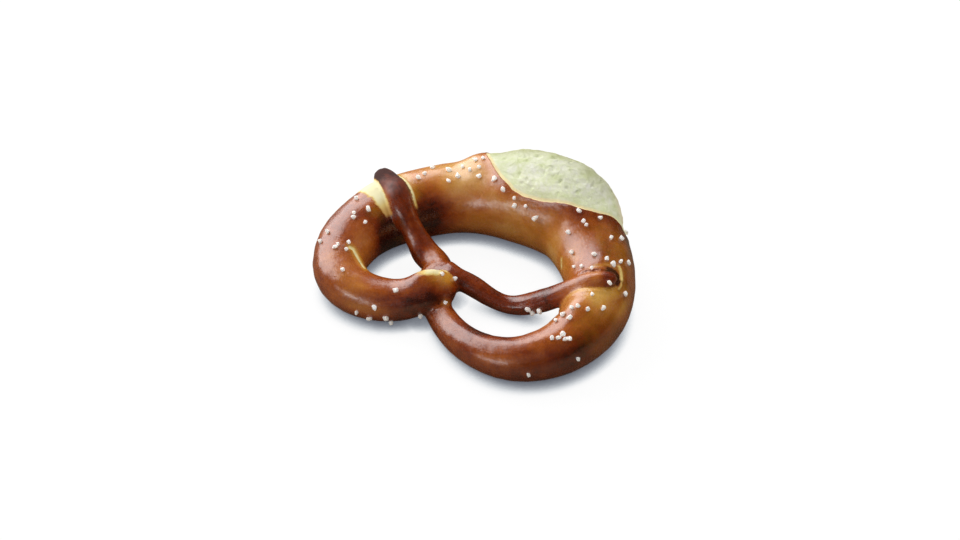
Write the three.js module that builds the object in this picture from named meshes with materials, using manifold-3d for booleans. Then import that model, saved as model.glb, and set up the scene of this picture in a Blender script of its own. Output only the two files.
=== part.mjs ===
// A soft pretzel: one rope of dough, rolled fat in the middle and thin at the ends. The fat middle is the belly,
// at the back. Its two ends are twisted round each other once and laid back over the ring.
// Millimetres, +Z up, standing on z = 0. +Y runs from the twist to the belly, +X to the right lobe.
import * as THREE from "three";
import { mergeVertices } from "three/addons/utils/BufferGeometryUtils.js";
import Module from "manifold-3d";

const wasm = await Module();
wasm.setup();

// ---- Driving dimensions ----
const REST = 0.88; // height of a lying rope's centre, as a share of its radius: the underside bakes flat
const SIDES = 28; // facets round the rope
const STEPS = 4; // sections from one station to the next
const EASE = 4; // times that the bends between stations are evened out
const TIP_STEPS = 5; // sections that round off a tip

// Stations of the rope's centre line, from the left tip to the right tip: x, y, thickness and, where the rope
// doesn't lie on the tray, the height of its centre.
const LEFT_ARM = [
  [-65.4, -2.8, 10.4, 31.6],
  [-56.6, -8.6, 12.6, 32.6],
  [-47, -12.4, 12.2, 27.2],
  [-38.4, -12.4, 10.8, 18],
  [-28.6, -12.6, 10.6, 10],
];
const TWIST_LEFT = [
  [-15.9, -16, 12, 5.4],
  [-8.4, -23.2, 13.2, 8.6],
  [-5.4, -32.2, 16.4, 13.6],
  [-10, -40.6, 18.8, 12.8],
];
const RING = [
  [-19, -47.8, 20.4],
  [-36.3, -56.5, 22.6],
  [-55, -49.1, 26.4],
  [-62.6, -26.5, 30.6],
  [-57.2, -3.8, 34.2],
  [-45.2, 17.1, 35],
  [-31.6, 29.4, 37.4],
  [-14, 38, 43],
  [3.8, 43.2, 45.6],
  [19.8, 42.2, 43.6],
  [32.4, 35, 37.6],
  [45.2, 26.4, 35],
  [55.8, 13.6, 32.8],
  [62.4, -2.8, 30.6],
  [61.6, -23.4, 25],
  [48, -42.4, 20.4],
  [24.2, -46.6, 15.8],
  [6, -40.6, 14],
];
const TWIST_RIGHT = [
  [-4.4, -34.8, 13, 6],
  [-11.2, -31.8, 11.6, 6],
  [-16, -28.2, 10.8, 6.8],
  [-17.6, -23.6, 10.6, 8.8],
  [-15.2, -19.8, 10.6, 11.2],
  [-10.4, -18.8, 10.6, 12.8],
  [-4.2, -19.6, 10.4, 12.2],
];
const RIGHT_ARM = [
  [3.6, -17.2, 10.4, 8.8],
  [18, -13.2, 8.4, 4],
  [28.6, -7, 10.8, 5.8],
  [39.6, -2.6, 11, 13.8],
  [48.4, 0.4, 10, 22.3],
  [56, 4.4, 8.8, 28.4],
  [62.4, 9.4, 7.6, 30.6],
];
// The split along the back of the belly, where the crumb rose through the torn crust: its ends in stations, its
// middle line and reach in degrees round the rope (90 is the top, 180 the outside) and the height of its cushion.
const SPLIT = { from: 15.2, to: 19.6, middle: 114, reach: 68, rise: 4 };
const stations = [...LEFT_ARM, ...TWIST_LEFT, ...RING, ...TWIST_RIGHT, ...RIGHT_ARM];

// ---- Sections of the rope ----
const line = (points) => new THREE.CatmullRomCurve3(points, false, "catmullrom");
const centreLine = line(
  stations.map(([x, y, thick, up]) => new THREE.Vector3(x, y, up ?? (REST * thick) / 2)),
);
const girth = line(stations.map(([, , thick]) => new THREE.Vector3(thick, 0, 0)));
const last = (stations.length - 1) * STEPS;
let sections = Array.from({ length: last + 1 }, (_, i) => ({
  centre: centreLine.getPoint(i / last),
  radius: girth.getPoint(i / last).x / 2,
}));
for (let pass = 0; pass < EASE; pass += 1) sections = sections.map(eased);

// Dough evens out its own bends: a section moves half way to the mean of its neighbours.
function eased(here, i, all) {
  if (i === 0 || i === all.length - 1) return here;
  const mean = all[i - 1].centre.clone().add(all[i + 1].centre).multiplyScalar(0.5);
  return {
    centre: here.centre.clone().lerp(mean, 0.5),
    radius: here.radius / 2 + (all[i - 1].radius + all[i + 1].radius) / 4,
  };
}

// The sections that round off a tip, from the end face outwards.
function roundTip(end, before) {
  const ahead = end.centre.clone().sub(before.centre).normalize();
  return Array.from({ length: TIP_STEPS }, (_, i) => {
    const turn = (Math.PI / 2) * ((i + 1) / (TIP_STEPS + 0.5));
    return {
      centre: end.centre.clone().addScaledVector(ahead, end.radius * Math.sin(turn)),
      radius: end.radius * Math.cos(turn),
    };
  });
}
const rope = [
  ...roundTip(sections[0], sections[1]).reverse(),
  ...sections,
  ...roundTip(sections.at(-1), sections.at(-2)),
];
const atStation = (station) => TIP_STEPS + station * STEPS;

// How far the crumb stands proud of the round rope.
function crumbRise(station, angle) {
  const along = (2 * station - SPLIT.from - SPLIT.to) / (SPLIT.to - SPLIT.from);
  const round = (angle - SPLIT.middle) / SPLIT.reach;
  return SPLIT.rise * Math.max(0, 1 - along ** 2 - round ** 2);
}

// ---- One stretch of the rope: a straight rod, bent along the sections ----
const UP = new THREE.Vector3(0, 0, 1);

function stretch(from, to) {
  const outline = [new THREE.Vector2(0, from)];
  for (let i = from; i <= to; i += 1) outline.push(new THREE.Vector2(1, i));
  outline.push(new THREE.Vector2(0, to));
  const rod = new THREE.LatheGeometry(outline, SIDES);
  rod.deleteAttribute("normal");
  rod.deleteAttribute("uv");
  const position = rod.getAttribute("position");
  for (let i = 0; i < position.count; i += 1) {
    const section = position.getY(i);
    const here = rope[section];
    const ahead = rope[Math.min(section + 1, rope.length - 1)].centre
      .clone()
      .sub(rope[Math.max(section - 1, 0)].centre)
      .normalize();
    const side = new THREE.Vector3().crossVectors(ahead, UP).normalize();
    const up = new THREE.Vector3().crossVectors(side, ahead);
    const angle = THREE.MathUtils.radToDeg(Math.atan2(position.getZ(i), position.getX(i)));
    const radius = here.radius + crumbRise((section - TIP_STEPS) / STEPS, (angle + 360) % 360);
    const point = here.centre
      .clone()
      .addScaledVector(side, position.getX(i) * radius)
      .addScaledVector(up, position.getZ(i) * radius);
    position.setXYZ(i, point.x, point.y, Math.max(point.z, 0));
  }
  return solid(rod);
}

function solid(geometry) {
  const merged = mergeVertices(geometry, 1e-3);
  return new wasm.Manifold(
    new wasm.Mesh({
      numProp: 3,
      vertProperties: merged.getAttribute("position").array,
      triVerts: new Uint32Array(merged.index.array),
    }),
  );
}

// The rope is cut where it lies free, so that its stretches can be joined where they cross.
const CUTS = [11, 23].map(atStation);
const ends = [0, ...CUTS, rope.length - 1];
const whole = ends
  .slice(1)
  .map((end, i) => stretch(ends[i], end))
  .reduce((joined, next) => joined.add(next));

// ---- The part ----
const mesh = whole.getMesh();
const geometry = new THREE.BufferGeometry();
geometry.setAttribute("position", new THREE.BufferAttribute(new Float32Array(mesh.vertProperties), 3));
geometry.setIndex(new THREE.BufferAttribute(new Uint32Array(mesh.triVerts), 1));

geometry.computeBoundingBox();
const middle = geometry.boundingBox.getCenter(new THREE.Vector3());
geometry.translate(-middle.x, -middle.y, 0);

const crust = new THREE.MeshStandardMaterial({ color: 0x8a4a24, roughness: 0.45, metalness: 0 });
const pretzel = new THREE.Mesh(geometry, crust);
pretzel.name = "pretzel";

const part = new THREE.Group();
part.add(pretzel);
export default part;
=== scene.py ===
import math
import random

import bpy
import numpy as np
from mathutils import Matrix, Vector, noise
from mathutils.bvhtree import BVHTree


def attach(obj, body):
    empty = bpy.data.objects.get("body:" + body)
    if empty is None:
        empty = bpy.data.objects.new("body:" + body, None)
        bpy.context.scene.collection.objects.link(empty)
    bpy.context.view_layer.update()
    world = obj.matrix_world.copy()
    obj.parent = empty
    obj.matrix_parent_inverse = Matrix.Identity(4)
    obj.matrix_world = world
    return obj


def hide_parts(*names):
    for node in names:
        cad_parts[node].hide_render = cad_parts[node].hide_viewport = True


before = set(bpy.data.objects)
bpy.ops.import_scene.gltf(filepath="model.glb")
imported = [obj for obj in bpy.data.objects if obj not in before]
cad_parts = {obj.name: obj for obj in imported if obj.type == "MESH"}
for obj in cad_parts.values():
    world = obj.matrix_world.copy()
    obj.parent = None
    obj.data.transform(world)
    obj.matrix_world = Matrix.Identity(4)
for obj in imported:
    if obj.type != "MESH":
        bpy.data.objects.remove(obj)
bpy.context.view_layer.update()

# ---- The pretzel: one rope of wheat dough ----
# Rolled fat in the middle and thin at the ends, twisted once and laid back over itself, dipped in lye and
# baked. The strands bake together where they touch, and the underside bakes flat on the tray.
MM = 0.001
# Stations of the rope's centre line from the left tip to the right tip: x, y, thickness and, where the rope
# is lifted off the tray, the height of its centre. All in millimetres.
LEFT_ARM = [
    (-65.4, -2.8, 10.4, 31.6),
    (-54.3, -6.6, 12.4, 32.6),
    (-45.9, -11.5, 12.2, 27.2),
    (-38.4, -12.4, 10.8, 18.0),
    (-28.6, -12.6, 10.6, 10.0),
]
TWIST_LEFT = [
    (-15.9, -16.0, 12.0, 5.4),
    (-8.4, -23.2, 13.2, 8.6),
    (-5.4, -32.2, 16.4, 13.6),
    (-10.0, -40.6, 18.8, 12.8),
]
RING = [
    (-19.0, -47.8, 20.4),
    (-36.3, -56.5, 22.6),
    (-55.0, -49.1, 26.4),
    (-62.6, -26.5, 30.6),
    (-57.2, -3.8, 34.2),
    (-45.2, 17.1, 35.0),
    (-31.6, 29.4, 37.4),
    (-14.0, 38.0, 43.0),
    (3.8, 43.2, 45.6),
    (19.8, 42.2, 43.6),
    (32.4, 35.0, 37.6),
    (45.2, 26.4, 35.0),
    (55.8, 13.6, 32.8),
    (62.4, -2.8, 30.6),
    (61.6, -23.4, 25.0),
    (48.0, -42.4, 20.4),
    (24.2, -46.6, 15.8),
    (6.0, -40.6, 14.0),
]
TWIST_RIGHT = [
    (-4.4, -34.8, 13.0, 6.0),
    (-11.2, -31.8, 11.6, 6.0),
    (-16.0, -28.2, 10.8, 6.8),
    (-17.6, -23.6, 10.6, 8.8),
    (-15.2, -19.8, 10.6, 11.2),
    (-10.4, -18.8, 10.6, 12.8),
    (-4.2, -19.6, 10.4, 12.2),
]
RIGHT_ARM = [
    (3.1, -16.6, 10.4, 9.8),
    (18.0, -13.2, 8.4, 4.0),
    (28.6, -7.0, 10.8, 5.8),
    (39.6, -2.6, 11.0, 13.8),
    (48.4, 0.4, 10.0, 22.3),
    (55.9, 4.9, 9.4, 29.0),
    (62.6, 9.9, 7.4, 31.0),
]
REST = 0.88  # height of a lying rope's centre, as a share of its radius
SIDES = 32  # facets round the rope
STEPS = 4  # sections from one station to the next
EASE = 4  # times that the bends between stations are evened out
TIP_STEPS = 5  # sections that round off a tip

whole_rope = LEFT_ARM + TWIST_LEFT + RING + TWIST_RIGHT + RIGHT_ARM
stations = np.array([(*s, REST * s[2] / 2) if len(s) == 3 else s for s in whole_rope])
RIGHT_TIP = len(stations) - 1  # its station; the left tip's is nought


def through(points, steps, closed=False):
    """A smooth line through the points, with that many steps from each to the next."""
    if closed:
        padded = np.vstack([points[-1:], points, points[:2]])
    else:
        padded = np.vstack([2 * points[0] - points[1], points, 2 * points[-1] - points[-2]])
    line = []
    for before, here, there, after in zip(padded, padded[1:], padded[2:], padded[3:]):
        for t in np.arange(steps) / steps:
            leave, arrive = (there - before) / 2, (after - here) / 2
            line.append(
                here
                + leave * t
                + (3 * (there - here) - 2 * leave - arrive) * t**2
                + (2 * (here - there) + leave + arrive) * t**3
            )
    if not closed:
        line.append(points[-1])
    return np.array(line)


sections = through(stations[:, [0, 1, 3, 2]], STEPS)
for _ in range(EASE):
    sections[1:-1] = sections[1:-1] / 2 + (sections[:-2] + sections[2:]) / 4
centres, radii = sections[:, :3], sections[:, 3] / 2


def tip(end, before, radius):
    """The sections that round off a tip, from the end face outwards."""
    ahead = (end - before) / np.linalg.norm(end - before)
    turns = np.pi / 2 * (np.arange(TIP_STEPS) + 1) / (TIP_STEPS + 0.5)
    return end + np.outer(np.sin(turns), ahead) * radius, radius * np.cos(turns)


left_tip, left_radii = tip(centres[0], centres[1], radii[0])
right_tip, right_radii = tip(centres[-1], centres[-2], radii[-1])
rope_line = np.vstack([left_tip[::-1], centres, right_tip])
rope_radii = np.concatenate([left_radii[::-1], radii, right_radii])


def unit(vectors):
    """The same directions, each one long."""
    return vectors / np.linalg.norm(vectors, axis=-1, keepdims=True)


def frames_along(line):
    """Across, up and ahead at each point of the rope's line."""
    ahead = unit(np.vstack([line[1:], line[-1:]]) - np.vstack([line[:1], line[:-1]]))
    across = unit(np.cross(ahead, (0, 0, 1)))
    return across, np.cross(across, ahead), ahead


# The same line, cut finer, for laying out everything on the rope.
FINE = 8
BATCH = 4000  # points measured at a time
fine = through(sections, FINE)
fine_line, fine_radii = fine[:, :3], fine[:, 3] / 2
fine_across, fine_up, fine_ahead = frames_along(fine_line)


def rope_at(place):
    """The rope's centre, its directions across and up, and its radius at places given in stations."""
    at = np.clip(np.asarray(place, float) * STEPS * FINE, 0, len(fine) - 1)
    i = np.minimum(at.astype(int), len(fine) - 2)
    share = (at - i)[..., None]

    def between(values):
        return values[i] * (1 - share) + values[i + 1] * share

    radius = between(fine_radii[:, None])[..., 0]
    return between(fine_line), unit(between(fine_across)), unit(between(fine_up)), radius


def round_rope(points, place):
    """Each point's turn round the rope in degrees (0 is the inner side of the ring, 90 the top, 180 the
    outside), how far it is from the round rope's surface, and the direction outwards."""
    centre, side, up, radius = rope_at(place)
    out = points - centre
    turn = np.degrees(np.arctan2((out * up).sum(-1), (out * side).sum(-1))) % 360
    reach = np.linalg.norm(out, axis=-1)
    return turn, reach - radius, out / np.maximum(reach, 1e-6)[:, None]


def on_rope(points, first=0, last=RIGHT_TIP):
    """Each point's place along the rope in stations, its turn round it, and its distance from its skin."""
    low, high = int(first * STEPS) * FINE, int(last * STEPS) * FINE
    coarse, girth = fine_line[low : high + 1 : FINE], fine_radii[low : high + 1 : FINE]
    span = np.arange(-2 * FINE, 2 * FINE + 1)
    place = np.empty(len(points))
    for start in range(0, len(points), BATCH):
        p = points[start : start + BATCH]
        row = np.arange(len(p))
        nearest = (np.linalg.norm(p[:, None] - coarse, axis=-1) - girth).argmin(1) * FINE + low
        window = np.clip(nearest[:, None] + span, low, high)
        past = ((p[:, None] - fine_line[window]) * fine_ahead[window]).sum(-1)
        abreast = (past[:, :-1] > 0) & (past[:, 1:] <= 0)
        j = np.where(abreast, np.abs(span[:-1]), len(span)).argmin(1)
        behind, before = past[row, j], -past[row, j + 1]
        share = np.clip(behind / np.maximum(behind + before, 1e-6), 0, 1)
        nearer_end = np.where(past[:, -1] > 0, window[:, -1], window[:, 0])
        at = np.where(abreast.any(1), window[row, j] + share, nearer_end)
        place[start : start + len(p)] = at / STEPS / FINE
    turn, off, _ = round_rope(points, place)
    return place, turn, off - rise_at(place, turn)


def spot_on_rope(place, turn):
    """A point of the round rope's surface, and the direction outwards there."""
    centre, side, up, radius = rope_at(place)
    angle = np.radians(np.asarray(turn, float))[..., None]
    out = side * np.cos(angle) + up * np.sin(angle)
    return centre + out * radius[..., None], out


across, upward, ahead = frames_along(rope_line)

bpy.ops.object.select_all(action="DESELECT")
turned = [Matrix(np.stack([upward[i], across[i], ahead[i]], axis=-1)) for i in range(len(rope_line))]
bpy.ops.mesh.primitive_circle_add(
    vertices=SIDES,
    radius=rope_radii[0] * MM,
    fill_type="NGON",
    location=rope_line[0] * MM,
    rotation=turned[0].to_euler(),
)
pretzel = bpy.context.object
pretzel.name = pretzel.data.name = "pretzel_loaf"
bpy.ops.object.transform_apply(location=True, rotation=True, scale=True)
bpy.ops.object.mode_set(mode="EDIT")
for i in range(1, len(rope_line)):
    here = Vector(rope_line[i] * MM)
    bpy.ops.mesh.extrude_region_move(TRANSFORM_OT_translate={"value": here - Vector(rope_line[i - 1] * MM)})
    bend = (turned[i] @ turned[i - 1].transposed()).to_euler("XYZ")
    for axis, turn in zip("XYZ", bend):
        bpy.ops.transform.rotate(value=-turn, orient_axis=axis, orient_type="GLOBAL", center_override=here)
    swell = rope_radii[i] / rope_radii[i - 1]
    bpy.ops.transform.resize(value=(swell, swell, swell), center_override=here)
bpy.ops.mesh.select_all(action="SELECT")
bpy.ops.mesh.normals_make_consistent(inside=False)
bpy.ops.object.mode_set(mode="OBJECT")


def points_of(piece):
    """A piece's points in millimetres."""
    flat = np.empty(len(piece.data.vertices) * 3)
    piece.data.vertices.foreach_get("co", flat)
    return flat.reshape(-1, 3) / MM


def normals_of(piece):
    """The direction outwards at each of a piece's points."""
    flat = np.empty(len(piece.data.vertices) * 3)
    piece.data.vertices.foreach_get("normal", flat)
    return flat.reshape(-1, 3)


def move_points(piece, points):
    """Moves a piece's points to these, given in millimetres."""
    piece.data.vertices.foreach_set("co", (points * MM).ravel())
    piece.data.update()


def pick(piece, chosen):
    """Selects the faces whose corners are all chosen."""
    mesh = piece.data
    bpy.ops.object.select_all(action="DESELECT")
    piece.select_set(True)
    bpy.context.view_layer.objects.active = piece
    bpy.ops.object.mode_set(mode="EDIT")
    bpy.ops.mesh.select_all(action="DESELECT")
    bpy.ops.mesh.select_mode(type="FACE")
    bpy.ops.object.mode_set(mode="OBJECT")
    mesh.polygons.foreach_set("select", [all(chosen[v] for v in face.vertices) for face in mesh.polygons])


def refine(piece, chosen):
    """Cuts the faces whose corners are all chosen into smaller ones."""
    pick(piece, chosen)
    bpy.ops.object.mode_set(mode="EDIT")
    bpy.ops.mesh.subdivide(number_cuts=1, smoothness=0)
    bpy.ops.mesh.select_all(action="DESELECT")
    bpy.ops.object.mode_set(mode="OBJECT")


def smoothstep(low, high, values):
    """Nought up to low and one from high on, with a soft slope between; low may be the larger one."""
    t = np.clip((values - low) / (high - low), 0, 1)
    return t * t * (3 - 2 * t)


def lumps(points, size, seed):
    """Soft noise from -1 to 1, with lumps of about that many millimetres."""
    shift = Vector((seed * 17.3, seed * -9.1, seed * 5.7))
    return np.array([noise.noise(Vector(p) / size + shift) for p in points])


# Each point keeps its place along the rope while the rope is cut finer.
points = points_of(pretzel)
apart = points[:, None] - rope_line
miss = np.abs(np.linalg.norm(apart, axis=-1) - rope_radii) + np.abs((apart * ahead).sum(-1))
place = np.clip((miss.argmin(1) - TIP_STEPS) / STEPS, 0, RIGHT_TIP)
pretzel.data.attributes.new("place", "FLOAT", "POINT").data.foreach_set("value", place.astype(np.float32))
refine(pretzel, np.full(len(points), True))

# The crumb stands proud of the round rope as a cushion.
RISE = 4.0
RISE_FROM, RISE_TO = 15.2, 19.6  # its ends, in stations
RISE_MIDDLE, RISE_REACH = 114.0, 68.0  # its middle line and its reach round the rope, in degrees
# Where the dough swells besides: place, turn, reach along the rope, reach round it, and rise.
SWELLS = [
    (15.05, 114, 8.0, 12.0, 3.2),  # the shoulder at the left end of the split
    (14.50, 112, 5.0, 12.0, -0.8),  # and the dip before it
    (15.95, 116, 9.0, 14.0, 1.1),  # the crumb behind the shoulder
    (7.05, 196, 5.0, 6.5, 1.7),  # the twist's end, on its outer side
    (7.45, 74, 7.0, 5.0, 3.0),  # the twist's end, against the strand that crosses it
    (12.62, 110, 3.0, 8.0, 1.8),  # the fold on the left of the left arm
    (4.60, 86, 6.5, 5.2, 3.9),  # the left arm's foot, flush with the crossing
    (4.00, 2, 9.0, 5.5, 3.1),  # and its inner side, where it widens into the crossing
    (0.70, 20, 7.0, 4.0, 0.6),  # the left arm's tip: high on its inner side
    (0.60, 105, 8.0, 4.5, -1.2),  # and pressed down on the other
    (22.25, 78, 8.0, 7.0, 2.2),  # the hump in front of the right arm
    (22.30, 30, 6.0, 6.0, -1.8),  # and its drawn-in inner side
    (20.85, 78, 5.0, 9.0, 1.0),  # the dough behind the right arm
]
arc = np.concatenate([[0], np.cumsum(np.linalg.norm(np.diff(fine_line, axis=0), axis=1))])


def millimetres_along(place):
    """How far along the rope a place lies, from the left tip."""
    return np.interp(np.asarray(place, float) * STEPS * FINE, np.arange(len(arc)), arc)


def fading(place, turn, spot_place, spot_turn, reach_along, reach_round):
    """One at a spot of the rope, fading to nought round it; the reaches are in millimetres."""
    along = (millimetres_along(place) - millimetres_along(spot_place)) / reach_along
    aside = np.radians((turn - spot_turn + 180) % 360 - 180) * rope_at(spot_place)[3] / reach_round
    return np.exp(-(along**2) - aside**2)


def rise_at(place, turn):
    """How far the dough stands proud of the round rope."""
    along = (2 * place - RISE_FROM - RISE_TO) / (RISE_TO - RISE_FROM)
    rise = RISE * np.maximum(0, 1 - along**2 - ((turn - RISE_MIDDLE) / RISE_REACH) ** 2)
    for *swell, height in SWELLS:
        rise = rise + height * fading(place, turn, *swell)
    return rise


points = points_of(pretzel)
place = np.empty(len(points), np.float32)
pretzel.data.attributes["place"].data.foreach_get("value", place)
turn, _, outwards = round_rope(points, place)
move_points(pretzel, points + outwards * rise_at(place, turn)[:, None])

# The strands are fused into one closed skin, and the skin is evened out.
SKIN = 1.0 * MM  # how finely the skin is cut
fuse = pretzel.modifiers.new("fuse", "REMESH")
fuse.mode = "VOXEL"
fuse.voxel_size = SKIN
bpy.ops.object.modifier_apply(modifier="fuse")
even = pretzel.modifiers.new("even", "SMOOTH")
even.factor = 0.5
even.iterations = 8
bpy.ops.object.modifier_apply(modifier="even")

# Where the left arm runs into the crossing, the dough has flowed together.
CROSSING = (-19.0, -17.5, 15.5)
CROSSING_REACH = 8.5
pick(pretzel, np.linalg.norm(points_of(pretzel) - CROSSING, axis=1) < CROSSING_REACH)
bpy.ops.object.mode_set(mode="EDIT")
bpy.ops.mesh.vertices_smooth(factor=0.5, repeat=30)
bpy.ops.mesh.select_all(action="DESELECT")
bpy.ops.object.mode_set(mode="OBJECT")

# The underside settles flat on the tray, with a soft shoulder.
SHOULDER = 0.7
points = points_of(pretzel)
points[:, 2] = (points[:, 2] + np.sqrt(points[:, 2] ** 2 + SHOULDER**2)) / 2
move_points(pretzel, points)

# The split: the belly is cut before baking, and the crumb tears the crust open there as it rises.
# Its outline is laid round the rope: place along the rope in stations, turn round it in degrees.
SPLIT_EDGE = [
    (15.22, 118),
    (15.33, 103),
    (15.50, 88),
    (15.76, 70),
    (16.05, 57),
    (16.32, 49),
    (16.70, 45),
    (17.22, 47),
    (17.76, 55),
    (18.24, 68),
    (18.60, 83),
    (18.89, 101),
    (19.05, 119),
    (19.19, 136),
    (19.40, 154),
    (19.36, 170),
    (18.90, 178),
    (18.20, 182),
    (17.40, 182),
    (16.60, 178),
    (15.95, 168),
    (15.50, 153),
    (15.28, 135),
]
BELLY_RADIUS = 21.0
BELLY_FROM, BELLY_TO = 14, 21  # stations that the split lies well between
FAR_FROM_SPLIT = -30.0  # what counts for points beyond them


def unrolled(place, turn):
    """Places and turns on the belly, laid out flat in millimetres."""
    aside = np.radians(np.asarray(turn) - RISE_MIDDLE) * BELLY_RADIUS
    return np.stack([millimetres_along(place), aside], axis=-1)


split_edge = through(unrolled(*np.array(SPLIT_EDGE, float).T), 8, closed=True)


def inside_split(place, turn):
    """How many millimetres a point lies inside the split's edge; less than nought outside it."""
    here = unrolled(place, turn)
    a, b = split_edge, np.roll(split_edge, -1, axis=0)
    d = b - a
    result = np.full(len(here), FAR_FROM_SPLIT)
    near = np.where((place > BELLY_FROM) & (place < BELLY_TO))[0]
    for start in range(0, len(near), BATCH):
        k = near[start : start + BATCH]
        p = here[k, None, :]
        t = np.clip(((p - a) * d).sum(-1) / (d * d).sum(-1), 0, 1)
        reach = np.linalg.norm(p - a - t[..., None] * d, axis=-1).min(1)
        x, y = p[..., 0], p[..., 1]
        crosses = (a[:, 1] > y) != (b[:, 1] > y)
        at = a[:, 0] + (y - a[:, 1]) / np.where(d[:, 1] == 0, 1e-9, d[:, 1]) * d[:, 0]
        odd = (crosses & (x < at)).sum(1) % 2 == 1
        result[k] = np.where(odd, reach, -reach)
    return result


# The skin is cut finer in the split, and finer again along its edge.
place, turn, _ = on_rope(points_of(pretzel))
refine(pretzel, inside_split(place, turn) > -3.5)
place, turn, _ = on_rope(points_of(pretzel))
refine(pretzel, np.abs(inside_split(place, turn)) < 1.4)

# Where one stretch of the rope lies on another, each as its first and last station.
CONTACTS = {
    "left arm": ((11, 15), (0, 5)),
    "right arm": ((19.5, 23.75), (36, 40)),
    "twist": ((6, 9), (28, 34)),
}


def contact(points, name):
    """For a contact: place and turn on the stretch beneath, place and turn on the one on top, how far a point
    is from the one on top, and how surely it lies on the skin of the one beneath, from nought to one."""
    beneath, above = CONTACTS[name]
    place, turn, to_beneath = on_rope(points, *beneath)
    place_above, turn_above, to_above = on_rope(points, *above)
    sure = smoothstep(-0.2, 0.4, to_above - to_beneath) * smoothstep(2.5, 1.2, to_beneath)
    return place, turn, place_above, turn_above, to_above, sure


# The skin is cut finer on what lies beneath, and twice as fine on the thin strand of the twist.
points = points_of(pretzel)
close = np.zeros(len(points), bool)
for name in CONTACTS:
    *_, to_above, sure = contact(points, name)
    close |= (to_above > -0.8) & (to_above < 4.6) & (sure > 0)
refine(pretzel, close)
*_, to_above, _ = contact(points_of(pretzel), "twist")
refine(pretzel, (to_above > -0.8) & (to_above < 1.2))

points = points_of(pretzel)
out = normals_of(pretzel)
place, turn, _ = on_rope(points)
inside = inside_split(place, turn)
radius = rope_at(place)[3]
lying = smoothstep(1.0, 5.0, points[:, 2])  # nought on the flat underside


def bell(values, middle, width):
    """One in the middle and nought well away from it."""
    return np.exp(-(((values - middle) / width) ** 2))


# Dough is never quite even.
lift = 0.35 * lumps(points, 22.0, 1) * lying + 0.12 * lumps(points, 7.0, 2) * lying
# Rolling and proving leave long soft ridges along the rope.
ROLLED_RADIUS = 14.0  # that of the straight even roll on which the ridges are laid out
ahead_mm = millimetres_along(place)
angle = np.radians(turn)
rolled = np.stack([ahead_mm, np.cos(angle) * ROLLED_RADIUS, np.sin(angle) * ROLLED_RADIUS], axis=-1)
on_crust = smoothstep(0.5, -1.0, inside)
lift += (0.28 * lumps(rolled * (0.35, 1, 1), 7.0, 13) + 0.07 * lumps(points, 3.2, 14)) * lying * on_crust
# The torn crust curls up along the split's edge, and the crumb behind it lies in soft cushions.
CURL, CURL_WIDTH = 0.6, 1.7
GROOVE, GROOVE_WIDTH = 0.5, 1.1
wavy = 0.35 * lumps(points, 6.0, 3) + 0.2 * lumps(points, 2.5, 4)
inside = inside + np.where(inside > -8, wavy, 0)
crust_edge = smoothstep(0.25, -0.25, inside)
curl = CURL * np.exp(-np.maximum(-inside, 0) / CURL_WIDTH) * (0.8 + 0.3 * lumps(points, 9.0, 5))
groove = -GROOVE * np.exp(-np.maximum(inside, 0) / GROOVE_WIDTH)
cushion = 0.5 * lumps(points, 9.0, 6) + 0.3 * lumps(points, 3.6, 7) + 0.12 * lumps(points, 1.7, 15)
cushion = smoothstep(0, 7, inside) * (cushion - 0.5 * smoothstep(0.25, 0.6, lumps(points, 2.6, 16)))
lift += crust_edge * curl + (1 - crust_edge) * (groove + cushion)

# Dough that was covered, or torn open late in the oven, did not brown. How pale it is goes from nought to
# one, and so does how golden the crust round it is.
fray = 0.45 * lumps(points, 3.0, 8) + 0.25 * lumps(points, 1.3, 11)

# The left arm: a wide pale band on its left and a thin pale line on its right, both hard against it.
BAND_FROM = 12.44  # station of the band's outer edge
_, on_turn, arm_place, arm_turn, away, sure = contact(points, "left arm")
left_side = smoothstep(-0.2, 0.2, np.cos(np.radians(arm_turn)))
outer_end = smoothstep(150, 132, on_turn + 8 * fray)
inward = ahead_mm - millimetres_along(BAND_FROM) - 8.0 * smoothstep(130, 160, on_turn)
band = sure * left_side * smoothstep(-0.9, 0.8, inward + 2.0 * fray) * smoothstep(36, 48, on_turn) * outer_end
line = sure * (1 - left_side) * smoothstep(2.3, 1.5, away + 0.3 * fray)
line *= smoothstep(30, 44, on_turn) * outer_end
# The band goes on over the crease and a little way up the arm.
_, _, to_ring = on_rope(points, *CONTACTS["left arm"][0])
climb = smoothstep(2.6, 1.7, to_ring + 0.6 * fray) * smoothstep(1.8, 1.0, away) * (away > -1.5)
climb *= left_side * smoothstep(36, 46, on_turn) * outer_end * (on_turn < 170) * (arm_place < 4)
band = np.maximum(band, climb) * (0.42 + 0.58 * smoothstep(50, 80, on_turn))
pale = np.maximum(band, line * (0.55 + 0.4 * smoothstep(40, 58, on_turn)))
golden = sure * smoothstep(9, 1.5, away + fray) * smoothstep(34, 56, on_turn) * 0.85
lift += sure * outer_end * (0.35 * left_side * bell(away, 1.9, 1.0) - 0.35 * bell(away, 0.3, 0.6))

# The right arm: it has sunk into the ring. The ring's dough closes over its back edge in a fine fold, stands
# up round its tip as a thin pale rim, and swells up in front of it.
_, _, arm_place, arm_turn, away, sure = contact(points, "right arm")
facing = np.cos(np.radians(arm_turn))
end, before_end = rope_at(RIGHT_TIP)[0], rope_at(RIGHT_TIP - 0.1)[0]
beyond = (points - end) @ unit(end - before_end)
round_tip = smoothstep(-3.0, 0.5, beyond)
behind = sure * smoothstep(0.1, -0.3, facing) * (1 - round_tip) * smoothstep(38.2, 39.0, arm_place)
before = sure * smoothstep(-0.1, 0.4, facing) * (1 - round_tip)
around = sure * round_tip
lift += behind * (0.9 * bell(away, 1.5, 0.9) - 0.6 * bell(away, 0.2, 0.5))
lift -= around * 0.9 * bell(away, 0.6, 1.0)
lift += before * (0.4 * bell(away, 2.4, 1.5) - 0.3 * bell(away, 0.2, 0.6))
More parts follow.
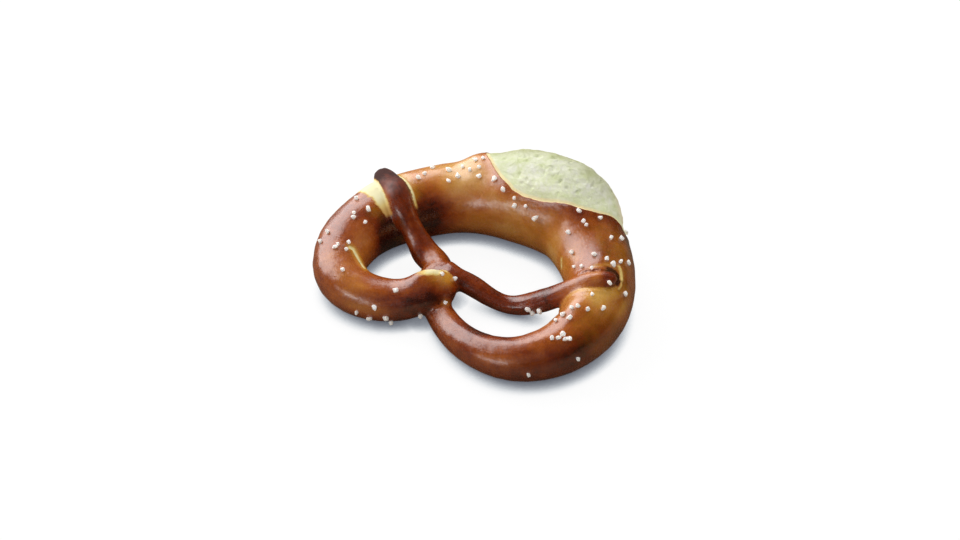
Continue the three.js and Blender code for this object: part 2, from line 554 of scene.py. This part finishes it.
along_front = smoothstep(37.7, 38.6, arm_place)
golden = np.maximum(golden, before * smoothstep(5.5, 1.0, away + fray) * (0.25 + 0.65 * along_front))
by_tip = (before + around) * smoothstep(10, 3, away + 2 * fray) * smoothstep(38.9, 39.8, arm_place)
golden = np.maximum(golden, by_tip * 0.9)
# The hollow round the tip and the fold behind the arm, where shade is painted in further down.
hollow = 2.7 + 1.9 * smoothstep(0.0, -0.8, facing)
recess = around * smoothstep(hollow, hollow - 1.1, away) * smoothstep(0.45, -0.1, facing)
crease = behind * bell(away, 0.35, 0.5)

# The twist: the strand under the crossing is pale along its upper edge, and only golden where that turns
# down. Its own end, just before it dives under, has a pale crown.
_, on_turn, _, _, away, sure = contact(points, "twist")
along_edge = smoothstep(28, 44, on_turn) * smoothstep(150, 132, on_turn)
seam = sure * smoothstep(3.4, 1.9, away + 0.5 * fray) * along_edge
pale = np.maximum(pale, seam * (0.9 - 0.6 * smoothstep(92, 108, on_turn)))
golden = np.maximum(golden, sure * smoothstep(6.5, 2.0, away + fray) * along_edge)
lift += sure * along_edge * (0.3 * bell(away, 2.0, 1.0) - 0.4 * bell(away, 0.2, 0.6))
on_end = smoothstep(2.0, 0.8, np.abs(on_rope(points, 6, 9)[2])) * (radius > 6.2) * (place > 6) * (place < 9)
crown = on_end * smoothstep(6.62, 6.8, place + 0.05 * fray) * smoothstep(8.0, 7.3, place + 0.25 * fray)
crown *= smoothstep(104, 88, turn + 12 * fray + 10 * smoothstep(7.0, 7.5, place)) * smoothstep(44, 62, turn)
pale = np.maximum(pale, 0.92 * crown)
halo = on_end * bell(ahead_mm, millimetres_along(6.8), 6) * bell(turn, 100, 28)
golden = np.maximum(golden, halo * 0.9)

# Small cracks and bare spots elsewhere: a line over the rope as places and turns, its half width, how pale
# it is, and how deep.
CRACKS = [
    ([(11.0, 64), (10.95, 56), (10.71, 49), (10.41, 45), (10.12, 48)], 1.0, 0.95, 0.3),
    ([(19.70, 18), (19.8, 12), (19.92, 6)], 0.55, 0.9, 0.1),
    ([(20.76, 118), (20.86, 122), (20.97, 124.5), (21.10, 127)], 0.95, 0.64, -0.3),  # round the right tip
    ([(21.10, 127), (21.25, 128.5), (21.38, 126.5)], 0.6, 0.5, -0.25),
    ([(20.99, 74), (20.88, 82), (20.84, 95), (20.80, 104)], 0.6, 0.3, -0.15),  # and behind it
    ([(26.40, 70), (26.50, 62)], 1.0, 0.8, 0.2),
]
NEAR, NOT_NEAR = 8.0, 99.0  # millimetres


def near_line(points, line):
    """How far each point is from a line over the rope, in millimetres."""
    spots, _ = spot_on_rope(*np.array(line, float).T)
    spots = through(spots, 6)
    a, d = spots[:-1], np.diff(spots, axis=0)
    result = np.full(len(points), NOT_NEAR)
    close = np.where(((points > spots.min(0) - NEAR) & (points < spots.max(0) + NEAR)).all(1))[0]
    p = points[close, None, :]
    t = np.clip(((p - a) * d).sum(-1) / (d * d).sum(-1), 0, 1)
    result[close] = np.linalg.norm(p - a - t[..., None] * d, axis=-1).min(1)
    return result


for crack, width, strength, depth in CRACKS:
    reach = near_line(points, crack)
    pale = np.maximum(pale, strength * smoothstep(1.5 * width, 0.5 * width, reach + 0.3 * fray))
    golden = np.maximum(golden, 0.8 * smoothstep(4 * width, width, reach + fray))
    lift += depth * (0.8 * bell(reach, 1.8 * width, 0.8 * width) - bell(reach, 0, 0.8 * width))

# No gold where shade is painted, in the hollow and the fold.
golden *= 1 - 0.9 * np.maximum(recess, crease)

# Bake, with painted light and shade in it: nought is barely golden, one is the darkest brown. The thin arms
# browned the most, the ring's inner walls and its right lobe the least; the outer sides are darker, partly as
# painted shade.
inner = np.maximum(smoothstep(80, 25, turn), smoothstep(290, 340, turn))
outer = smoothstep(105, 160, turn) * smoothstep(300, 240, turn) * smoothstep(7.2, 9.5, radius)
fat = smoothstep(8, 14, radius)
right_lobe = smoothstep(19.5, 21.0, place) * smoothstep(23.6, 22.4, place)
bake_with_painted_light = 0.58 + 0.26 * smoothstep(9.5, 6.5, radius) - 0.20 * inner * fat + 0.21 * outer * (1 - 0.4 * right_lobe)
bake_with_painted_light += 0.14 * smoothstep(8, 1, -inside) * (inside < 0)
# Patches that baked lighter or darker, and patches of painted shade and painted highlight: place, turn, reach
# along the rope, reach round it, how much darker, how golden.
PATCHES = [
    (14.1, 100, 22, 16, -0.43, 0.3),  # the back's left top
    (14.9, 74, 16, 10, -0.35, 0.1),  # and the slope below it
    (15.7, 355, 20, 7, -0.1, 0.3),  # the foot of the back's inner wall
    (17.2, 20, 20, 12, 0.0, 0.35),  # the inner wall under the split
    (12.35, 3, 14, 14.5, 0.9, 0.0),  # the inner wall under the left arm, painted dark to deepen its shade
    (13.5, 10, 14, 14, 0.8, 0.0),  # and right of it, painted dark for the left arm's shadow
    (1.25, 5, 5, 3.5, -0.5, 0.3),  # the left arm's tip, on its inner side
    (6.82, 114, 4.5, 4.5, -0.35, 1.0),  # the twist's end, beside the pale seam
    (24.4, 57, 18, 5, 0.32, 0.0),  # the front's upper edge, painted darker as shade
    (23.8, 112, 9, 5, 0.12, 0.1),  # and its crown, painted darker as the shade between its two highlights
    (22.9, 145, 12, 7, 0.25, 0.0),  # the right lobe's outer side, darker, partly as painted shade
    (18.97, 2, 8, 9, -0.3, 0.1),  # the right end of the inner wall
    (10.0, 127, 16, 8, -0.2, 0.1),  # the left lobe's top
    (13.35, 72, 7, 9, 0.15, 0.5),  # right of the left arm
    (12.3, 58, 5, 6, 0.0, 0.6),  # and left of it
    (9.5, 166, 12, 4, -0.4, 0.1),  # the foot of the left lobe, lighter: a painted reflection of the paper
    (22.2, 74, 9, 9, -0.24, 0.1),  # the hump before the right arm, lighter: a painted highlight
    (21.8, 104, 8, 8, -0.22, 0.8),  # and beside the right arm's tip
    (25.8, 100, 12, 10, -0.15, 0.0),  # the front's left end, lighter: a painted highlight
    (24.15, 142, 9, 2.6, -0.25, 0.0),  # a lighter streak low on the front: a painted highlight
    (7.6, 150, 10, 8, 0.2, 0.0),  # the twist's outer side, painted darker as shade
    (30.9, 120, 9, 8, -0.28, 0.0),  # the crossing's hump, lighter: a painted highlight
    (4.4, 80, 5, 6, -0.26, 0.0),  # and the left arm's foot on it, the same painted highlight
    (36.0, 45, 9, 5, 0.08, 0.0),  # the right arm's lowest stretch
    (8.7, 140, 10, 7, 0.2, 0.0),  # the front of the left lobe, painted darker as shade
    (11.9, 112, 16, 8, 0.14, 0.0),  # its left side
    (10.8, 62, 10, 5, 0.14, 0.35),  # and its inner edge
    (20.0, 92, 10, 4, 0.12, 0.7),  # behind the right arm
    (20.3, 118, 20, 14, 0.22, 0.65),  # the right side
    (21.6, 151, 7, 5, -0.2, 0.7),  # and its foot
    (21.3, 141, 5, 4, 0.25, 0.8),  # between the two
]
for *patch, darker, more_golden in PATCHES:
    share = fading(place, turn, *patch)
    bake_with_painted_light += darker * share
    golden = np.maximum(golden, more_golden * share)
# The left arm's tip is burnt dark and matt. The right arm lightens towards its end, and its tip, sunk in its
# hollow, is painted dark as shade.
burnt = smoothstep(1.8, 0.1, place + 0.15 * lumps(points, 5.0, 17))
bake_with_painted_light += 0.20 * burnt
bake_with_painted_light += 0.45 * smoothstep(39.45, 39.9, place) - 0.42 * smoothstep(36.8, 38.8, place)
# Painted shade: darker in the hollow round the right tip and in the fold behind the right arm.
bake_with_painted_light += 0.5 * recess + 0.4 * crease - 0.2 * golden
bake_with_painted_light += 0.12 * lumps(points, 16.0, 9) + 0.07 * lumps(points, 5.0, 10)
under_split = inner * fat * smoothstep(14.8, 16.5, place) * smoothstep(22.0, 20.0, place)
beside_tip = right_lobe * smoothstep(75, 110, turn) * smoothstep(210, 170, turn)
golden = np.maximum(golden, np.maximum(0.32 * under_split, 0.4 * beside_tip))
golden = np.clip(golden + 0.15 * lumps(points, 8.0, 12), 0, 1)

# The crumb: its top dried to a greener rind and its outer side stayed creamier. Its inner side and right end,
# which lie in shade, get a painted glow.
near_crumb = inside > -2
rind = smoothstep(90, 122, turn + 6 * fray) * (1 - 0.9 * smoothstep(130, 154, turn)) * near_crumb
rind *= (0.75 + 0.25 * smoothstep(17.5, 15.8, place)) * (1 - 0.85 * smoothstep(17.6, 18.6, place))
creamy = smoothstep(126, 152, turn + 6 * fray) * near_crumb
crumb_glow_mask = np.maximum(smoothstep(86, 62, turn), 0.9 * smoothstep(17.9, 18.7, place)) * near_crumb

points = points + out * lift[:, None]
points[:, 2] = np.maximum(points[:, 2], 0)
points[:, 2] -= points[:, 2].min()
move_points(pretzel, points)


def paint(piece, name, values):
    """Gives each point of a piece a number that its material reads."""
    piece.data.attributes.new(name, "FLOAT", "POINT").data.foreach_set("value", values.astype(np.float32))


paint(pretzel, "inside_split", inside)
paint(pretzel, "pale", pale)
paint(pretzel, "golden", golden)
paint(pretzel, "bake_with_painted_light", np.clip(bake_with_painted_light, 0, 1.2))
paint(pretzel, "burnt", burnt)
paint(pretzel, "rind", rind)
paint(pretzel, "crumb_glow_mask", crumb_glow_mask)
paint(pretzel, "creamy", creamy)
lengthwise = pretzel.data.attributes.new("rolled", "FLOAT_VECTOR", "POINT")
lengthwise.data.foreach_set("vector", rolled.astype(np.float32).ravel() * MM)
pretzel.data.shade_smooth()


def new_material(name):
    """A new material, its node tree and its shader."""
    material = bpy.data.materials.new(name)
    material.use_nodes = True
    tree = material.node_tree
    return material, tree, tree.nodes["Principled BSDF"]


class Desk:
    """Short ways to lay out and wire a node tree."""

    def __init__(self, tree):
        self.tree = tree

    def node(self, kind, **values):
        made = self.tree.nodes.new("ShaderNode" + kind)
        for key, value in values.items():
            setattr(made, key, value)
        return made

    def wire(self, source, socket):
        self.tree.links.new(source, socket)

    def attribute(self, name):
        return self.node("Attribute", attribute_name=name).outputs["Fac"]

    def math(self, operation, *inputs):
        made = self.node("Math", operation=operation)
        for socket, value in zip(made.inputs, inputs):
            if isinstance(value, (int, float)):
                socket.default_value = value
            else:
                self.wire(value, socket)
        return made.outputs[0]

    def between(self, value, low, high, to_low=0.0, to_high=1.0):
        """From one number to the other, softly, while the value goes from low to high."""
        made = self.node("MapRange", interpolation_type="SMOOTHSTEP")
        self.wire(value, made.inputs["Value"])
        ends = {"From Min": low, "From Max": high, "To Min": to_low, "To Max": to_high}
        for name, number in ends.items():
            made.inputs[name].default_value = number
        return made.outputs["Result"]

    def mix(self, share, first, second):
        made = self.node("Mix", data_type="RGBA")
        for name, value in ((0, share), (6, first), (7, second)):
            if isinstance(value, (int, float)):
                made.inputs[name].default_value = value
            elif isinstance(value, tuple):
                made.inputs[name].default_value = (*value, 1)
            else:
                self.wire(value, made.inputs[name])
        return made.outputs[2]

    def ramp(self, value, stops):
        made = self.node("ValToRGB")
        ends = made.color_ramp.elements
        while len(ends) < len(stops):
            ends.new(0.5)
        for end, (position, colour) in zip(ends, stops):
            end.position = position
            end.color = (*colour, 1)
        self.wire(value, made.inputs["Fac"])
        return made.outputs["Color"]

    def noise(self, where, size_mm, detail=3.0, rough=0.55):
        made = self.node("TexNoise")
        self.wire(where, made.inputs["Vector"])
        made.inputs["Scale"].default_value = 1000 / size_mm
        made.inputs["Detail"].default_value = detail
        made.inputs["Roughness"].default_value = rough
        return made.outputs["Fac"]

    def bump(self, height, distance_mm, strength, before=None):
        made = self.node("Bump")
        made.inputs["Strength"].default_value = strength
        made.inputs["Distance"].default_value = distance_mm * MM
        self.wire(height, made.inputs["Height"])
        if before is not None:
            self.wire(before, made.inputs["Normal"])
        return made.outputs["Normal"]


def srgb(red, green, blue):
    """A colour given as 0-255 numbers, as linear light."""
    shares = (red / 255, green / 255, blue / 255)
    return tuple(((c + 0.055) / 1.055) ** 2.4 if c > 0.04045 else c / 12.92 for c in shares)


# The crust is satin: brown where the lye reached, honey where the dough stretched, and cream where it was
# covered. The crumb in the split is matt.
crust, tree, shader = new_material("crust_and_crumb")
desk = Desk(tree)
where = desk.node("TexCoord").outputs["Object"]
split = desk.attribute("inside_split")
baked_with_painted_light = desk.attribute("bake_with_painted_light")
gold = desk.attribute("golden")
bare = desk.attribute("pale")

# It browns unevenly: in blotches, in a fine grain, in streaks along the rope and in freckles.
blotch = desk.noise(where, 9.0, 4.0, 0.6)
fine_grain = desk.noise(where, 1.4, 5.0, 0.65)
rolled_way = desk.node("Mapping")
rolled_way.inputs["Scale"].default_value = (0.25, 1, 1)
desk.wire(desk.node("Attribute", attribute_name="rolled").outputs["Vector"], rolled_way.inputs["Vector"])
streaks = desk.noise(rolled_way.outputs["Vector"], 1.6, 3.0, 0.6)
freckle = desk.noise(where, 3.2, 3.0, 0.7)
for pattern, amount in ((blotch, 0.40), (fine_grain, 0.22), (streaks, 0.20), (freckle, 0.30)):
    baked_with_painted_light = desk.math("ADD", baked_with_painted_light, desk.math("MULTIPLY", desk.math("SUBTRACT", pattern, 0.5), amount))
brown = desk.ramp(
    baked_with_painted_light,
    [
        (0.0, srgb(224, 166, 92)),
        (0.30, srgb(204, 124, 50)),
        (0.55, srgb(174, 87, 27)),
        (0.80, srgb(130, 48, 10)),
        (1.0, srgb(62, 17, 6)),
    ],
)
honey = desk.ramp(
    baked_with_painted_light,
    [
        (0.0, srgb(238, 190, 92)),
        (0.35, srgb(214, 148, 42)),
        (0.65, srgb(170, 104, 14)),
        (1.0, srgb(96, 56, 6)),
    ],
)
freckled_gold = desk.math("ADD", gold, desk.math("SUBTRACT", freckle, 0.5))
skin = desk.mix(desk.between(freckled_gold, 0.05, 0.95), brown, honey)
cream = desk.ramp(
    bare,
    [
        (0.0, srgb(176, 110, 36)),
        (0.35, srgb(208, 152, 62)),
        (0.65, srgb(240, 212, 128)),
        (1.0, srgb(252, 244, 196)),
    ],
)
skin = desk.mix(desk.between(bare, 0.05, 0.45), skin, cream)

mottle = desk.noise(where, 7.0, 6.0, 0.72)
crumb = desk.ramp(
    mottle,
    [
        (0.30, srgb(206, 216, 150)),
        (0.42, srgb(222, 228, 184)),
        (0.56, srgb(234, 236, 210)),
        (0.72, srgb(243, 242, 232)),
    ],
)
dry = desk.math("MULTIPLY", desk.attribute("rind"), desk.between(mottle, 0.3, 0.7, 1.0, 0.7))
crumb = desk.mix(dry, crumb, srgb(176, 179, 126))
moist = desk.ramp(
    mottle,
    [(0.30, srgb(226, 206, 148)), (0.44, srgb(238, 224, 178)), (0.62, srgb(246, 238, 210))],
)
crumb = desk.mix(desk.math("MULTIPLY", desk.attribute("creamy"), 0.85), crumb, moist)
crumb = desk.mix(desk.between(split, 6.0, 2.0, 0.0, 0.25), crumb, srgb(220, 230, 164))
# The torn lip along the crust is the yellowest.
crumb = desk.mix(desk.between(split, 1.9, 0.7), crumb, srgb(252, 236, 182))
is_crumb = desk.between(split, -0.12, 0.12)
desk.wire(desk.mix(is_crumb, skin, crumb), shader.inputs["Base Color"])
# Painted glow: where the open crumb lies in shade it gives off a little light of its own.
painted_crumb_glow = desk.math("MULTIPLY", is_crumb, desk.attribute("crumb_glow_mask"))
desk.wire(desk.mix(painted_crumb_glow, (0.0, 0.0, 0.0), crumb), shader.inputs["Emission Color"])
shader.inputs["Emission Strength"].default_value = 0.18

MATT = 0.85
dull = desk.math("MULTIPLY", desk.attribute("burnt"), 0.75)
satin = desk.math("ADD", desk.between(fine_grain, 0.3, 0.7, 0.21, 0.31), dull)
rough = desk.node("Mix", data_type="FLOAT")
desk.wire(desk.math("MAXIMUM", is_crumb, desk.between(bare, 0.1, 0.6)), rough.inputs[0])
desk.wire(satin, rough.inputs[2])
rough.inputs[3].default_value = MATT
desk.wire(rough.outputs[0], shader.inputs["Roughness"])
shader.inputs["Specular IOR Level"].default_value = 1.0
shader.inputs["IOR"].default_value = 1.6

# The crust is finely wrinkled and pored with a few small blisters, and the crumb is rough.
BLISTERS_APART = 2.2  # millimetres
blister = desk.node("TexVoronoi", feature="F1")
desk.wire(where, blister.inputs["Vector"])
blister.inputs["Scale"].default_value = 1000 / BLISTERS_APART
bubble = desk.between(blister.outputs["Distance"], 0.30, 0.0)
some = desk.math("GREATER_THAN", desk.noise(where, 5.0, 2.0), 0.56)
skin_height = desk.math("ADD", desk.math("ADD", fine_grain, streaks), desk.math("MULTIPLY", bubble, some))
skin_height = desk.math("MULTIPLY", skin_height, desk.math("SUBTRACT", 1.0, is_crumb))
skin_bump = desk.bump(skin_height, 0.3, 0.28)
crumb_grain = desk.math("MULTIPLY", desk.noise(where, 1.3, 6.0, 0.75), is_crumb)
crumb_bump = desk.bump(crumb_grain, 0.9, 0.6, skin_bump)
desk.wire(crumb_bump, shader.inputs["Normal"])

pretzel.data.materials.clear()
pretzel.data.materials.append(crust)
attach(pretzel, "root")
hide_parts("pretzel")

# ---- The salt ----
# Coarse white grains, strewn on the wet dough before baking. They stick where they fell, each set a little
# way into the crust.
GRAIN = 2.0  # millimetres across
WORN = 0.28  # how far its edges are worn off, as a share of it
SHAPES = 6  # grains that all the others are copies of
FACETS = 5  # broken faces of each
# Where they lie on the sides that face up: place and turn.
GRAINS = [
    (13.5, 88), (13.67, 94), (13.89, 108), (14.25, 92), (14.18, 69), (14.49, 76), (14.64, 92),
    (14.87, 82), (15.0, 98), (15.14, 84), (15.17, 70), (15.2, 99), (15.63, 65), (15.96, 51),
    (16.32, 41), (16.35, 32), (16.75, 35), (17.28, 24), (17.36, 27), (18.62, 77), (19.01, 77),
    (19.19, 79), (19.08, 100), (19.12, 51), (19.82, 109), (19.73, 130), (19.2, 157), (19.92, 43),
    (20.43, 78), (20.64, 96), (20.59, 120), (20.47, 137), (20.76, 108), (20.64, 42), (20.84, 58),
    (21.05, 76), (40.0, 19), (21.37, 140), (21.9, 90), (22.33, 84), (22.43, 77), (22.28, 99),
    (22.04, 118), (22.65, 69), (22.65, 85), (22.87, 64), (23.21, 102), (23.1, 107), (22.99, 104),
    (23.01, 116), (22.94, 120), (22.95, 166), (23.72, 174), (36.2, 13), (36.3, 345), (36.6, 348),
    (8.69, 110), (9.33, 157), (9.7, 185), (9.45, 195), (9.09, 188), (9.0, 214), (8.1, 205),
    (10.31, 102), (6.98, 97), (7.22, 180), (33.07, 43), (11.19, 130), (11.37, 118), (10.96, 95),
    (11.04, 89), (11.14, 68), (10.89, 72), (11.92, 87), (11.83, 82), (12.21, 73), (11.89, 59),
    (12.25, 108),
]
random.seed(7)
shapes = []
for _ in range(SHAPES):
    bpy.ops.object.select_all(action="DESELECT")
    bpy.ops.mesh.primitive_cube_add(size=GRAIN * MM)
    grain = bpy.context.object
    bpy.ops.object.mode_set(mode="EDIT")
    bpy.ops.mesh.bevel(offset=WORN * GRAIN * MM, segments=2, profile=0.6, affect="EDGES")
    bpy.ops.object.mode_set(mode="OBJECT")
    corners = points_of(grain)
    stretch = np.array([random.uniform(0.78, 1.25) for _ in range(3)])
    corners = corners * stretch
    for _ in range(FACETS):
        facet = Vector([random.gauss(0, 1) for _ in range(3)]).normalized()
        depth = GRAIN * random.uniform(0.38, 0.5)
        over = corners @ np.array(facet) - depth
        corners -= np.outer(np.maximum(over, 0), facet)
    faces = [list(face.vertices) for face in grain.data.polygons]
    shapes.append((corners, faces))
    mesh = grain.data
    bpy.data.objects.remove(grain)
    bpy.data.meshes.remove(mesh)

skin_tree = BVHTree.FromObject(pretzel, bpy.context.evaluated_depsgraph_get())
all_points, all_faces = [], []
FALLS_FROM = 9.0  # millimetres above the round rope
STANDS_OUT = 0.30  # how far a grain's middle is from the crust, as a share of the grain


def set_grain(place, turn):
    """Sets one grain where a line down to that spot of the rope meets the crust."""
    spot, outward = spot_on_rope(place, turn)
    hit, normal, _, _ = skin_tree.ray_cast(Vector((spot + outward * FALLS_FROM) * MM), Vector(-outward))
    if hit is None:
        return
    corners, faces = random.choice(shapes)
    tilt = Vector([random.gauss(0, 1) for _ in range(3)]).normalized()
    turned_by = np.array(Matrix.Rotation(random.uniform(0, 6.28), 3, tilt))
    size = random.uniform(0.85, 1.12)
    middle = np.array(hit) / MM + np.array(normal) * GRAIN * size * STANDS_OUT
    first = sum(len(p) for p in all_points)
    all_points.append(corners @ turned_by.T * size + middle)
    all_faces.extend([[v + first for v in face] for face in faces])


for grain_place, grain_turn in GRAINS:
    set_grain(grain_place, grain_turn)
# The far and outer sides caught some as well: first and last station, lowest and highest turn, how many. Now
# and then two fell side by side.
FAR_SIDES = [
    (11.4, 13.0, 206, 222, 7),
    (13.3, 14.9, 158, 182, 10),
    (15.5, 19.0, 190, 203, 9),
    (19.5, 20.8, 208, 226, 6),
]
IN_PAIRS = 0.35
for first_station, last_station, lowest, highest, count in FAR_SIDES:
    for _ in range(count):
        grain_place = random.uniform(first_station, last_station)
        grain_turn = random.uniform(lowest, highest)
        set_grain(grain_place, grain_turn)
        if random.random() < IN_PAIRS:
            set_grain(grain_place + 0.13, grain_turn + 3)
salt_mesh = bpy.data.meshes.new("salt_grains")
salt_mesh.from_pydata([tuple(p * MM) for p in np.vstack(all_points)], [], all_faces)
salt = bpy.data.objects.new("salt_grains", salt_mesh)
bpy.context.collection.objects.link(salt)

salt_white, tree, shader = new_material("salt")
desk = Desk(tree)
where = desk.node("TexCoord").outputs["Object"]
cloudy = desk.noise(where, 0.9, 3.0)
white = desk.ramp(cloudy, [(0.3, srgb(252, 244, 226)), (0.7, srgb(255, 254, 248))])
desk.wire(white, shader.inputs["Base Color"])
desk.wire(desk.between(cloudy, 0.3, 0.7, 0.3, 0.5), shader.inputs["Roughness"])
desk.wire(desk.bump(desk.noise(where, 0.4, 3.0), 0.1, 0.3), shader.inputs["Normal"])
# Light goes right through a grain, and a faint painted glow is added, so that no side of it is dark.
shader.inputs["Subsurface Weight"].default_value = 1.0
shader.inputs["Subsurface Radius"].default_value = (1.0, 0.95, 0.85)
shader.inputs["Subsurface Scale"].default_value = 0.0025
shader.inputs["Emission Color"].default_value = (1.0, 0.95, 0.86, 1)
shader.inputs["Emission Strength"].default_value = 0.16
salt.data.materials.append(salt_white)
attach(salt, "root")

# ---- The floor ----
# A plain sheet of pale paper under the pretzel, without an edge in view. It shows its own even white, with a
# painted shadow where the pretzel keeps the light from it.
bpy.ops.object.select_all(action="DESELECT")
UNDER = 0.0002  # keeps the paper clear of the pretzel's flat underside
bpy.ops.mesh.primitive_plane_add(size=6, location=(0, 0, -UNDER))
floor = bpy.context.object
floor.name = "floor"
bpy.ops.object.transform_apply(location=True, rotation=True, scale=True)
paper, tree, shader = new_material("paper")
desk = Desk(tree)
shader.inputs["Roughness"].default_value = 0.9
shader.inputs["Specular IOR Level"].default_value = 0.0
seen = desk.node("LightPath").outputs["Is Camera Ray"]
# The painted shadow: the paper darkens by how little open sky it sees near the pretzel, leaning towards the
# key light.
SHADOW_REACH = 0.0085
TOWARDS_THE_LIGHT = (-0.475, 0.254, 0.843)
lean = desk.node("CombineXYZ")
for socket, share in zip(lean.inputs, TOWARDS_THE_LIGHT):
    socket.default_value = share
open_sky = desk.node("AmbientOcclusion", samples=8)
desk.wire(lean.outputs[0], open_sky.inputs["Normal"])
open_sky.inputs["Distance"].default_value = SHADOW_REACH
paper_white_with_painted_shadow = desk.ramp(
    open_sky.outputs["AO"],
    [
        (0.0, (0.04, 0.045, 0.06)),
        (0.3, (0.20, 0.22, 0.26)),
        (0.5, (0.62, 0.65, 0.68)),
        (0.68, (0.91, 0.912, 0.915)),
        (1.0, (0.93, 0.93, 0.93)),
    ],
)
# The pretzel gets warmer light back from the paper than the paper itself shows.
desk.wire(desk.mix(seen, (0.26, 0.20, 0.14), (0.10, 0.10, 0.10)), shader.inputs["Base Color"])
desk.wire(desk.mix(seen, (0.0, 0.0, 0.0), paper_white_with_painted_shadow), shader.inputs["Emission Color"])
shader.inputs["Emission Strength"].default_value = 1.0
floor.data.materials.append(paper)

# ---- Lights and camera ----
# A wide soft box behind on the left and a low strip in front on the left, which both shine back from the
# crust, three fills that don't, and a dim warm room.
AZIMUTH, ELEVATION = math.radians(40), math.radians(43)  # the camera's


def soft_box(name, turn, height, reach, wide, high, radiance, mirrored=True):
    """A soft box facing the pretzel, at that turn from the camera's right and that height, in degrees."""
    data = bpy.data.lights.new(name, "AREA")
    data.shape = "RECTANGLE"
    data.size, data.size_y = wide, high
    data.energy = radiance * math.pi * wide * high
    made = bpy.data.objects.new(name, data)
    bpy.context.collection.objects.link(made)
    turn, height = math.radians(turn) + AZIMUTH, math.radians(height)
    way = Vector((math.cos(turn) * math.cos(height), math.sin(turn) * math.cos(height), math.sin(height)))
    made.location = way * reach
    made.rotation_euler = way.to_track_quat("Z", "Y").to_euler()
    made.visible_glossy = mirrored


soft_box("key", 137, 30, 0.85, 1.24, 0.98, 2.92)
soft_box("low_front", -134, 16, 0.85, 0.40, 0.18, 3.7)
soft_box("front", -100, 45, 0.9, 0.8, 0.6, 1.2, mirrored=False)
soft_box("right", 22, 32, 0.9, 0.8, 0.5, 2.0, mirrored=False)
soft_box("back_right", 55, 60, 0.9, 0.7, 0.6, 1.6, mirrored=False)
room = bpy.data.worlds.new("room")
bpy.context.scene.world = room
room.use_nodes = True
walls = room.node_tree.nodes["Background"].inputs
walls["Color"].default_value = (1.0, 0.9, 0.78, 1)
walls["Strength"].default_value = 0.025
bpy.context.scene.view_settings.view_transform = "Standard"

TARGET = Vector((-0.010965, 0.002805, 0.0))  # what the camera looks at
DISTANCE = 0.7
FRAME_WIDTH = 960  # pixels
ASIDE, DOWN = 4, -4  # pixels that the picture is shifted by
back = Vector(
    (math.sin(AZIMUTH) * math.cos(ELEVATION), -math.cos(AZIMUTH) * math.cos(ELEVATION), math.sin(ELEVATION))
)
view = bpy.data.cameras.new("camera")
view.lens = 53.29
view.sensor_width = 36
view.shift_x, view.shift_y = ASIDE / FRAME_WIDTH, DOWN / FRAME_WIDTH
camera = bpy.data.objects.new("camera", view)
bpy.context.collection.objects.link(camera)
camera.location = TARGET + back * DISTANCE
camera.rotation_euler = (-back).to_track_quat("-Z", "Y").to_euler()
bpy.context.scene.camera = camera
